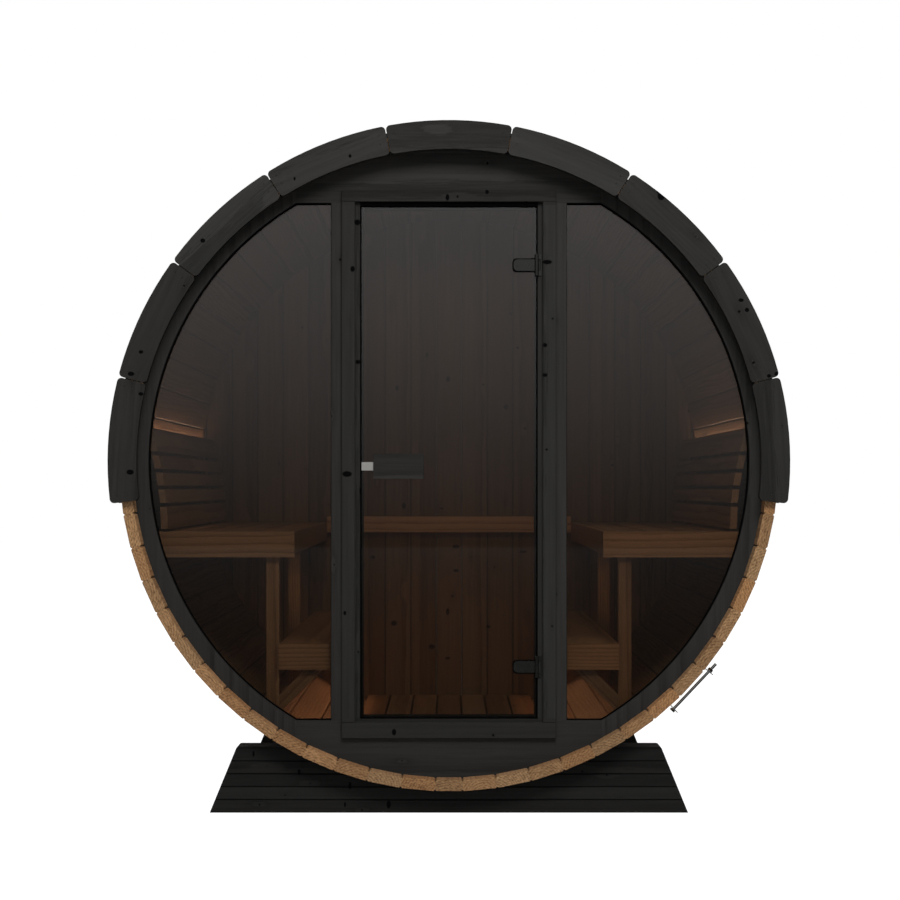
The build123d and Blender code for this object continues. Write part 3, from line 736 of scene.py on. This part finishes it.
class SAUNA_OT_room(bpy.types.Operator):
    """Finish the back wall, the benches, the backrests and the floor"""

    bl_idname = "sauna.room"
    bl_label = "Room"

    def execute(self, context):
        group = woods()
        paint = plain_paint(group.room_pale, group.room_dark, group.room_pale, group.room_dark)
        # Copies of one wood: the back wall is painted darker as painted shade, and the rail lighter as
        # painted light
        shadowed_wall_paint = lit_or_shaded(paint, 0.78)
        lit_rail_paint = lit_or_shaded(paint, 2.0)
        wall = wood(
            "back_wall_boards", lambda tree: upright_grain(tree, BACK_BOARD, -BACK_BOARD / 2), shadowed_wall_paint,
            knot_pitch=0.6, end_axis=None, knots=BACK_KNOTS, seam_dirt_and_shade=BACK_BOARD / 2,
        )
        put_on(wall, "back_wall")
        put_on(wood("rail_board", level_grain, {**lit_rail_paint, "figure": 0.3}, end_axis="x"), "back_wall_rail")
        # The floor slats are painted lighter: painted light
        floor = wood(
            "floor_boards", lambda tree: deep_grain(tree, FLOOR_PITCH, -FLOOR_PITCH / 2), lit_or_shaded(paint, 1.3),
            end_axis="y", seam_dirt_and_shade=FLOOR_SLAT / 2,
        )
        put_on(floor, "floor_slats")
        put_on(wood("bearer_boards", level_grain, paint, end_axis="x"), "floor_bearers")
        # The benches are painted lighter: painted light
        lit_bench_paint = {**lit_or_shaded(paint, 1.2), "figure": 0.4}
        bench = wood("bench_boards", bench_grain, lit_bench_paint, end_axis=None)
        rest = wood("backrest_boards", backrest_grain, paint, width=0.04)
        # The legs and backrest posts are painted lighter: painted light
        upright = wood(
            "leg_boards", lambda tree: upright_grain(tree, 0.5, -1.0), lit_or_shaded(paint, 1.12), width=0.04,
            end_axis="z",
        )
        slant = wood("brace_boards", brace_grain, paint, end_axis=None)
        for hand, _ in HANDS:
            put_on(bench, f"{hand}_upper_bench", f"{hand}_lower_bench")
            put_on(rest, f"{hand}_backrest")
            put_on(upright, f"{hand}_bench_legs", f"{hand}_backrest_posts")
            put_on(slant, f"{hand}_bench_braces")
        return {"FINISHED"}


class SAUNA_OT_glass(bpy.types.Operator):
    """Finish the two windows and the glass door"""

    bl_idname = "sauna.glass"
    bl_label = "Glass"

    def execute(self, context):
        tree = Finish("tinted_pane")
        pane = tree.add(
            "ShaderNodeBsdfPrincipled",
            inputs={
                "Base Color": opaque(hardware().glass),
                "Roughness": 0.02,
                "Specular IOR Level": 1.0,
                "Alpha": hardware().glass_cover,
            },
        )
        put_on(tree.finish(pane), "left_window", "right_window", "door_glass")
        return {"FINISHED"}


class SAUNA_OT_metal(bpy.types.Operator):
    """Finish the straps, the bolts, the hinges and the latch plate"""

    bl_idname = "sauna.metal"
    bl_label = "Metal"

    def execute(self, context):
        group = hardware()
        put_on(plain("strap_steel", group.strap, 0.38, 1.0), "front_strap", "rear_strap")
        put_on(plain("bolt_steel", group.bolt, 0.15, 1.0), "strap_bolts")
        put_on(plain("hinge_metal", group.hinge, 0.25, 0.8), "frame_hinges", "door_hinge_clamps")
        put_on(plain("latch_steel", group.latch, 0.35, 1.0), "door_latch_plate")
        return {"FINISHED"}


class SAUNA_OT_handle(bpy.types.Operator):
    """Finish the door handle"""

    bl_idname = "sauna.handle"
    bl_label = "Handle"

    def execute(self, context):
        paint = stained_paint(woods().stain_pale, woods().stain_dark, knotless=1.0)
        put_on(wood("handle_board", level_grain, paint, ring=0.008, end_axis="x"), "door_handle")
        return {"FINISHED"}


class SAUNA_OT_shingles(bpy.types.Operator):
    """Lay the roof shingles in courses over the roof covering"""

    bl_idname = "sauna.shingles"
    bl_label = "Roof shingles"

    def execute(self, context):
        group = hardware()
        felt = felt_material()
        put_on(felt, "roof_covering")
        shape = bmesh.new()
        low, high = SHINGLE_FOOT, SHINGLE_FOOT + SHINGLE_THICKNESS
        course_turn = group.shingle_course / ROOF_OUTER
        half_span = TRIM_BOARDS * TRIM_ANGLE / 2 - 0.004
        courses = int(half_span / course_turn)
        first = BARREL_FRONT + ROOF_INSET
        length = BARREL_REAR - BARREL_FRONT - 2 * ROOF_INSET
        tabs = round(length / group.shingle_width)
        width = length / tabs
        for hand in (-1, 1):
            for course in range(courses):
                start = hand * course * course_turn
                shift = (course % 2) * width / 2
                for tab in range(tabs + 1):
                    near = max(first, first + tab * width - shift)
                    far = min(first + length, first + (tab + 1) * width - shift)
                    if far - near > 0.02:
                        ends = (near + SHINGLE_GAP, far - SHINGLE_GAP)
                        shingle(shape, *ends, start, hand * course_turn, low, high)
        cap_turn = CAP_REACH / ROOF_OUTER
        for tab in range(tabs * 2):
            near = first + tab * width / 2
            far = near + width / 2 - 0.0005
            top = high + SHINGLE_THICKNESS
            shingle(shape, near + 0.0005, far, -cap_turn, 2 * cap_turn, high, top)
        piece("roof_shingles", shape, felt)
        return {"FINISHED"}


def shingle(shape, near, far, start, turn, low, high):
    """One tab that curves with the roof and lifts a little towards its lower edge."""
    radius = ROOF_OUTER + low
    made = bmesh.ops.create_grid(shape, x_segments=1, y_segments=1, size=0.5)
    verts = made["verts"]
    size = Matrix.Diagonal((high - low, far - near, 1.0, 1.0))
    upright = Matrix.Rotation(math.pi / 2, 4, "Y")
    place = Matrix.Translation((0.0, (near + far) / 2, AXIS_HEIGHT + radius + (high - low) / 2))
    bmesh.ops.transform(shape, matrix=place @ upright @ size, verts=verts)
    middle = Vector((0.0, 0.0, AXIS_HEIGHT))
    bmesh.ops.rotate(shape, cent=middle, matrix=Matrix.Rotation(start, 3, "Y"), verts=verts)
    faces = list({face for vert in verts for face in vert.link_faces})
    lift = Matrix.Rotation(start + turn / 2, 3, "Y") @ Vector((math.copysign(0.02, turn), 0.0, 0.0))
    bmesh.ops.spin(
        shape, geom=faces, cent=middle + lift, axis=(0.0, 1.0, 0.0), angle=turn, steps=3, use_duplicate=False
    )


def felt_material():
    """Mineral felt: dark, with pale granules."""
    tree = Finish("mineral_felt")
    coords = tree.add("ShaderNodeTexCoord", output="Object")
    granule = tree.noise(coords, 900.0, 1.0, 0.5)
    cloud = tree.noise(coords, 3.0, 3.0, 0.6)
    share = (granule - 0.42).within(0.0, 0.25) * (cloud + 0.3)
    tint = tree.mix(share.within(0.0, 1.0), hardware().felt, hardware().felt_pale)
    bump = tree.add("ShaderNodeBump", inputs={"Strength": 0.6, "Distance": 0.0008, "Height": granule})
    surface = tree.add(
        "ShaderNodeBsdfPrincipled", inputs={"Base Color": tint, "Roughness": 0.92, "Normal": bump}
    )
    return tree.finish(surface)


class SAUNA_OT_seals(bpy.types.Operator):
    """Run seals round the windows and the door stops, lay pads under the hinge clamps and a black strip of
    painted shadow on the door frame's head
    """

    bl_idname = "sauna.seals"
    bl_label = "Seals"

    def execute(self, context):
        rubber_and_shadow = plain("seal_rubber", hardware().seal, 0.7, scale=200.0, sheen=0.04)
        self.window_seals(rubber_and_shadow, hardware().seal_width)
        self.door_seal_and_head_shadow(rubber_and_shadow)
        self.hinge_pads(rubber_and_shadow)
        return {"FINISHED"}

    def door_seal_and_head_shadow(self, rubber_and_shadow):
        """Four strips on the stops, behind the edges of the pane, and a black strip on the head of the door
        frame: painted shadow where the casing above shades the frame.
        """
        low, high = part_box("door_stops")
        front, back = low.y - SEAL_DEPTH, low.y - AIR
        foot, top = low.z + STOP_INSET, high.z - STOP_INSET
        reach = high.x - STOP_INSET
        inner = reach - SEAL_FACE - AIR
        shape = bmesh.new()
        for sign in (-1, 1):
            left, right = sorted((sign * reach, sign * (reach - SEAL_FACE)))
            block(shape, (left, front, foot), (right, back, top), SEAL_EDGE)
        block(shape, (-inner, front, top - SEAL_FACE), (inner, back, top), SEAL_EDGE)
        # Painted shadow: a black strip over the face of the frame head, in the shade of the casing
        frame_face = side("frame_hinges", "y", far=True)
        head_shadow_low = (-reach, frame_face - 0.003, high.z + SOFT_EDGE)
        block(shape, head_shadow_low, (reach, frame_face - AIR, high.z + HEAD_REVEAL), SOFT_EDGE)
        block(shape, (-inner, front, foot), (inner, back, foot + SEAL_FACE), SEAL_EDGE)
        piece("door_seal_and_head_shadow", shape, rubber_and_shadow)

    def hinge_pads(self, rubber_and_shadow):
        """A thin pad with round corners under the front plate of each clamp; its black rim, wider than a
        gasket shows, is partly painted shadow round the clamp.
        """
        low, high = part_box("door_hinge_clamps")
        pane = side("door_glass", "y")
        edge = side("door_glass", "x", far=True)
        shape = bmesh.new()
        left = low.x - PAD_RIM_AND_SHADE
        for middle in (low.z + CLAMP_HEIGHT / 2, high.z - CLAMP_HEIGHT / 2):
            place = Matrix.Translation(((left + edge) / 2, pane - 0.0007, middle))
            size = Matrix.Diagonal((edge - left, 0.0012, CLAMP_HEIGHT + 2 * PAD_RIM_AND_SHADE, 1.0))
            made = bmesh.ops.create_cube(shape, size=1.0, matrix=place @ size)
            edges = {line for corner in made["verts"] for line in corner.link_edges}
            inner = [
                line for line in edges
                if max(corner.co.x for corner in line.verts) < low.x
                and abs(line.verts[0].co.z - line.verts[1].co.z) < 0.001
            ]
            bmesh.ops.bevel(
                shape, geom=inner, offset=PAD_CORNER, affect="EDGES", segments=6, profile=0.5, material=-1
            )
        piece("hinge_pads", shape, rubber_and_shadow, "door")

    def window_seals(self, rubber_and_shadow, width):
        """One upright, two level strips and a curved one round each window."""
        shape = bmesh.new()
        corner_x = math.sqrt(WINDOW_RADIUS**2 - WINDOW_HALF_HEIGHT**2)
        half_turn = math.asin(WINDOW_HALF_HEIGHT / WINDOW_RADIUS)
        front, back = PANE_FACE - width, PANE_FACE - AIR
        top = AXIS_HEIGHT + WINDOW_HALF_HEIGHT
        foot = AXIS_HEIGHT - WINDOW_HALF_HEIGHT
        middle = Vector((0.0, 0.0, AXIS_HEIGHT))
        for hand in (-1, 1):
            inner, outer = sorted((hand * WINDOW_INNER, hand * (WINDOW_INNER + width * 0.4)))
            block(shape, (inner, front, foot), (outer, back, top), SOFT_EDGE)
            left, right = sorted((hand * WINDOW_INNER, hand * corner_x))
            block(shape, (left, front, top - width), (right, back, top), 0.001)
            block(shape, (left, front, foot), (right, back, foot + width), 0.001)
            made = bmesh.ops.create_grid(shape, x_segments=1, y_segments=1, size=0.5)
            size = Matrix.Diagonal((width, back - front, 1.0, 1.0))
            place = Matrix.Translation((hand * (WINDOW_RADIUS - width / 2), (front + back) / 2, AXIS_HEIGHT))
            bmesh.ops.transform(shape, matrix=place @ size, verts=made["verts"])
            bmesh.ops.rotate(
                shape, cent=middle, matrix=Matrix.Rotation(-half_turn, 3, "Y"), verts=made["verts"]
            )
            faces = list({face for vert in made["verts"] for face in vert.link_faces})
            bmesh.ops.spin(
                shape, geom=faces, cent=middle, axis=(0.0, 1.0, 0.0), angle=2 * half_turn, steps=48,
                use_duplicate=False,
            )
        piece("window_seals", shape, rubber_and_shadow)


class SAUNA_OT_light_strips(bpy.types.Operator):
    """Fix a channel with a light strip behind the top of each backrest"""

    bl_idname = "sauna.light_strips"
    bl_label = "Light strips"

    def execute(self, context):
        tree = Finish("light_strip")
        glow = tree.add(
            "ShaderNodeBsdfPrincipled",
            inputs={
                "Base Color": (0.8, 0.8, 0.8, 1.0),
                "Roughness": 0.5,
                "Emission Color": opaque(hardware().strip),
                "Emission Strength": hardware().strip_power,
            },
        )
        strip = tree.finish(glow)
        channel = plain("light_channel", (0.02, 0.02, 0.02), 0.5)
        for hand, sign in HANDS:
            low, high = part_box(f"{hand}_backrest")
            back = max(abs(low.x), abs(high.x))
            lean = Matrix.Rotation(BACKREST_LEAN, 4, "Y")
            mirror = Matrix.Diagonal((sign, 1.0, 1.0, 1.0))
            place = Matrix.Translation((sign * back, 0.0, high.z)) @ mirror @ lean
            post_low, post_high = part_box(f"{hand}_backrest_posts")
            spans = (
                (low.y + 0.004, post_low.y - 0.001),
                (post_low.y + POST_WIDTH + 0.001, post_high.y - POST_WIDTH - 0.001),
                (post_high.y + 0.001, high.y - 0.004),
            )
            for name, near, far, foot, head, material, slot in (
                ("light_channel", 0.0002, 0.0112, -0.018, -0.0092, channel, "hinge_metal"),
                ("light_strip", 0.0012, 0.0102, -0.009, -0.007, strip, "latch_steel"),
            ):
                shape = bmesh.new()
                for start, end in spans:
                    block(shape, (near, start, foot), (far, end, head), SOFT_EDGE)
                bmesh.ops.transform(shape, matrix=place, verts=shape.verts)
                piece(f"{hand}_{name}", shape, material)
        return {"FINISHED"}


class SAUNA_OT_screws(bpy.types.Operator):
    """Set screws in the trim boards and the seats"""

    bl_idname = "sauna.screws"
    bl_label = "Screws"

    def execute(self, context):
        radius = hardware().screw_radius
        shape = bmesh.new()
        faces = ((side("front_trim", "y"), (0, -1, 0)), (side("rear_trim", "y", far=True), (0, 1, 0)))
        for (face, outwards), board in itertools.product(faces, range(TRIM_BOARDS)):
            middle = (board - (TRIM_BOARDS - 1) / 2) * TRIM_ANGLE
            for turn, reach in itertools.product((-TRIM_SCREW_TURN, TRIM_SCREW_TURN), TRIM_SCREW_REACHES):
                angle = middle + turn
                place = (reach * math.sin(angle), face, AXIS_HEIGHT + reach * math.cos(angle))
                screw(shape, place, outwards, radius)
        piece("trim_screws", shape, plain("dark_screws", (0.012, 0.012, 0.012), 0.5))

        shape = bmesh.new()
        benches = (("upper_bench", SEAT_SLATS), ("lower_bench", 1))
        for (hand, sign), (bench, slats) in itertools.product(HANDS, benches):
            seat_low, seat_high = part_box(f"{hand}_{bench}")
            inner = min(abs(seat_low.x), abs(seat_high.x)) + 0.0263
            outer = max(abs(seat_low.x), abs(seat_high.x))
            pitch = (outer - inner + SEAT_GAP) / slats
            rows_of_screws = (BENCH_START + 0.05, BENCH_START + 0.958, seat_high.y - 0.022)
            for slat, across, y in itertools.product(range(slats), (0.25, 0.75), rows_of_screws):
                x = sign * (inner + slat * pitch + across * (pitch - SEAT_GAP))
                screw(shape, (x, y, seat_high.z), (0, 0, 1), radius * 0.8)
        piece("seat_screws", shape, plain("bright_screws", (0.5, 0.49, 0.46), 0.35, 1.0))
        return {"FINISHED"}


class SAUNA_OT_stage(bpy.types.Operator):
    """Set the floor, the lamps and the camera"""

    bl_idname = "sauna.stage"
    bl_label = "Stage"

    def execute(self, context):
        settings = stage_settings()
        scene = context.scene
        scene.view_settings.view_transform = "Standard"
        self.floor(settings)
        self.world(settings)
        lamp("front_lamp", (0.6, -5.2, 4.7), (0.0, -0.6, 1.0), (2.8, 1.8), settings.key_light)
        lamp("top_lamp", (0.5, -0.6, 6.0), (0.0, 0.0, 1.1), (4.0, 4.0), settings.key_light * 0.42)
        lamp("back_lamp", (-1.5, 6.5, 4.0), (0.0, 0.8, 1.1), (4.0, 3.0), settings.key_light * 0.6)
        lamp("low_lamp", (0.0, -7.2, 1.5), (0.0, 0.0, 0.75), (2.4, 0.6), settings.low_light)
        warm = (1.0, 0.86, 0.64)
        orange = (1.0, 0.66, 0.48)
        lamp("room_lamp", (0.0, 0.05, 2.15), (0.0, 0.05, 0.5), (0.7, 1.2), settings.room_light, warm)
        for hand, sign in HANDS:
            step = (sign * 0.47, 0.05, 0.49)
            lamp(
                f"{hand}_step_lamp", step, (sign * 0.50, 0.05, 0.25), (1.5, 0.06),
                settings.room_light * 1.1, orange, spread=95.0,
            )
            lamp(
                f"{hand}_seat_lamp", (sign * 0.33, -0.5, 0.86), (sign * 0.62, 0.12, 0.72), (0.1, 0.1),
                settings.room_light * 0.02, warm, spread=30.0,
            )
        camera = bpy.data.cameras.new("camera")
        camera.lens = 75.5
        camera.sensor_width = 36.0
        camera.shift_x = 0.0005
        camera.shift_y = 0.0411
        eye = bpy.data.objects.new("camera", camera)
        eye.location = (0.0023, -7.5, 1.1355)
        eye.rotation_euler = (math.pi / 2, 0.0, 0.0)
        scene.collection.objects.link(eye)
        scene.camera = eye
        return {"FINISHED"}

    def floor(self, settings):
        """A pale floor that shows white to the camera and keeps the shadow."""
        shape = bmesh.new()
        bmesh.ops.create_grid(shape, x_segments=1, y_segments=1, size=30.0)
        mesh = bpy.data.meshes.new("floor")
        shape.to_mesh(mesh)
        shape.free()
        tree = Finish("floor_paper")
        ray = tree.add("ShaderNodeLightPath", output="Is Camera Ray")
        seen = ray.maths("MAXIMUM", ray, ray.other("Is Transmission Ray"))
        mirrored = ray.other("Is Glossy Ray")
        coords = tree.add("ShaderNodeTexCoord", output="Object")
        away = tree.add("ShaderNodeVectorMath", {"operation": "LENGTH"}, {0: coords}, output="Value")
        far = away.within(4.0, 28.0)
        matt = tree.add("ShaderNodeBsdfDiffuse", inputs={"Color": opaque(settings.floor)})
        white = tree.add(
            "ShaderNodeEmission",
            inputs={"Color": (1.0, 1.0, 1.0, 1.0), "Strength": seen * 1.4 + mirrored * (far * 0.15 + 0.03)},
        )
        mixed = tree.add("ShaderNodeMixShader", inputs={0: seen * 0.75 + mirrored, 1: matt, 2: white})
        mesh.materials.append(tree.finish(mixed))
        floor = bpy.data.objects.new("floor", mesh)
        bpy.context.scene.collection.objects.link(floor)

    def world(self, settings):
        """White to the camera, and an even soft light on the object."""
        world = bpy.data.worlds.new("studio")
        tree = Finish(world)
        ray = tree.add("ShaderNodeLightPath", output="Is Camera Ray")
        seen = ray.maths("MAXIMUM", ray, ray.other("Is Transmission Ray"))
        mirrored = ray.other("Is Glossy Ray")
        way = tree.add("ShaderNodeTexCoord", output="Generated")
        across = tree.add("ShaderNodeSeparateXYZ", inputs={"Vector": way})
        height = across.other("Z").within(-0.04, 0.15)
        beside = abs(across).within(0.3, 0.75) * 0.85
        mirror = mirrored * (height * (1.0 - beside) + 0.03)
        strength = seen + mirror + (1.0 - seen) * (1.0 - mirrored) * settings.sky_light
        light = tree.add("ShaderNodeBackground", inputs={"Color": (1.0, 1.0, 1.0, 1.0), "Strength": strength})
        tree.finish(light, "World")
        bpy.context.scene.world = world


def lamp(name, place, target, size, power, colour=(1.0, 1.0, 1.0), spread=180.0):
    """A soft rectangular lamp that points at a target. spread is in degrees."""
    light = bpy.data.lights.new(name, "AREA")
    light.shape = "RECTANGLE"
    light.size, light.size_y = size
    light.energy = power
    light.color = colour
    light.spread = math.radians(spread)
    thing = bpy.data.objects.new(name, light)
    way = Vector(target) - Vector(place)
    thing.rotation_euler = way.to_track_quat("-Z", "Y").to_euler()
    thing.location = place
    thing.visible_camera = False
    thing.visible_glossy = False
    thing.visible_transmission = False
    bpy.context.scene.collection.objects.link(thing)


STEPS = (
    SAUNA_OT_stage,
    SAUNA_OT_staves,
    SAUNA_OT_trims,
    SAUNA_OT_walls,
    SAUNA_OT_cradles,
    SAUNA_OT_room,
    SAUNA_OT_glass,
    SAUNA_OT_metal,
    SAUNA_OT_handle,
    SAUNA_OT_shingles,
    SAUNA_OT_seals,
    SAUNA_OT_light_strips,
    SAUNA_OT_screws,
)


class SAUNA_PT_panel(bpy.types.Panel):
    """The steps and settings of the sauna"""

    bl_idname = "SAUNA_PT_panel"
    bl_label = "Barrel Sauna"
    bl_space_type = "VIEW_3D"
    bl_region_type = "UI"
    bl_category = "Sauna"

    def draw(self, context):
        for step in STEPS:
            self.layout.operator(step.bl_idname)
        for group in (context.scene.sauna_woods, context.scene.sauna_hardware, context.scene.sauna_stage):
            for name in group.__annotations__:
                self.layout.prop(group, name)


CLASSES = (SaunaWoods, SaunaHardware, SaunaStage, *STEPS, SAUNA_PT_panel)


def register():
    for kind in CLASSES:
        bpy.utils.register_class(kind)
    bpy.types.Scene.sauna_woods = bpy.props.PointerProperty(type=SaunaWoods)
    bpy.types.Scene.sauna_hardware = bpy.props.PointerProperty(type=SaunaHardware)
    bpy.types.Scene.sauna_stage = bpy.props.PointerProperty(type=SaunaStage)


def unregister():
    del bpy.types.Scene.sauna_woods
    del bpy.types.Scene.sauna_hardware
    del bpy.types.Scene.sauna_stage
    for kind in reversed(CLASSES):
        bpy.utils.unregister_class(kind)


def main():
    """Make everything in order."""
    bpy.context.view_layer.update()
    register()
    bpy.ops.sauna.stage()
    bpy.ops.sauna.staves()
    bpy.ops.sauna.trims()
    bpy.ops.sauna.walls()
    bpy.ops.sauna.cradles()
    bpy.ops.sauna.room()
    bpy.ops.sauna.glass()
    bpy.ops.sauna.metal()
    bpy.ops.sauna.handle()
    bpy.ops.sauna.shingles()
    bpy.ops.sauna.seals()
    bpy.ops.sauna.light_strips()
    bpy.ops.sauna.screws()


if __name__ == "__main__":
    main()
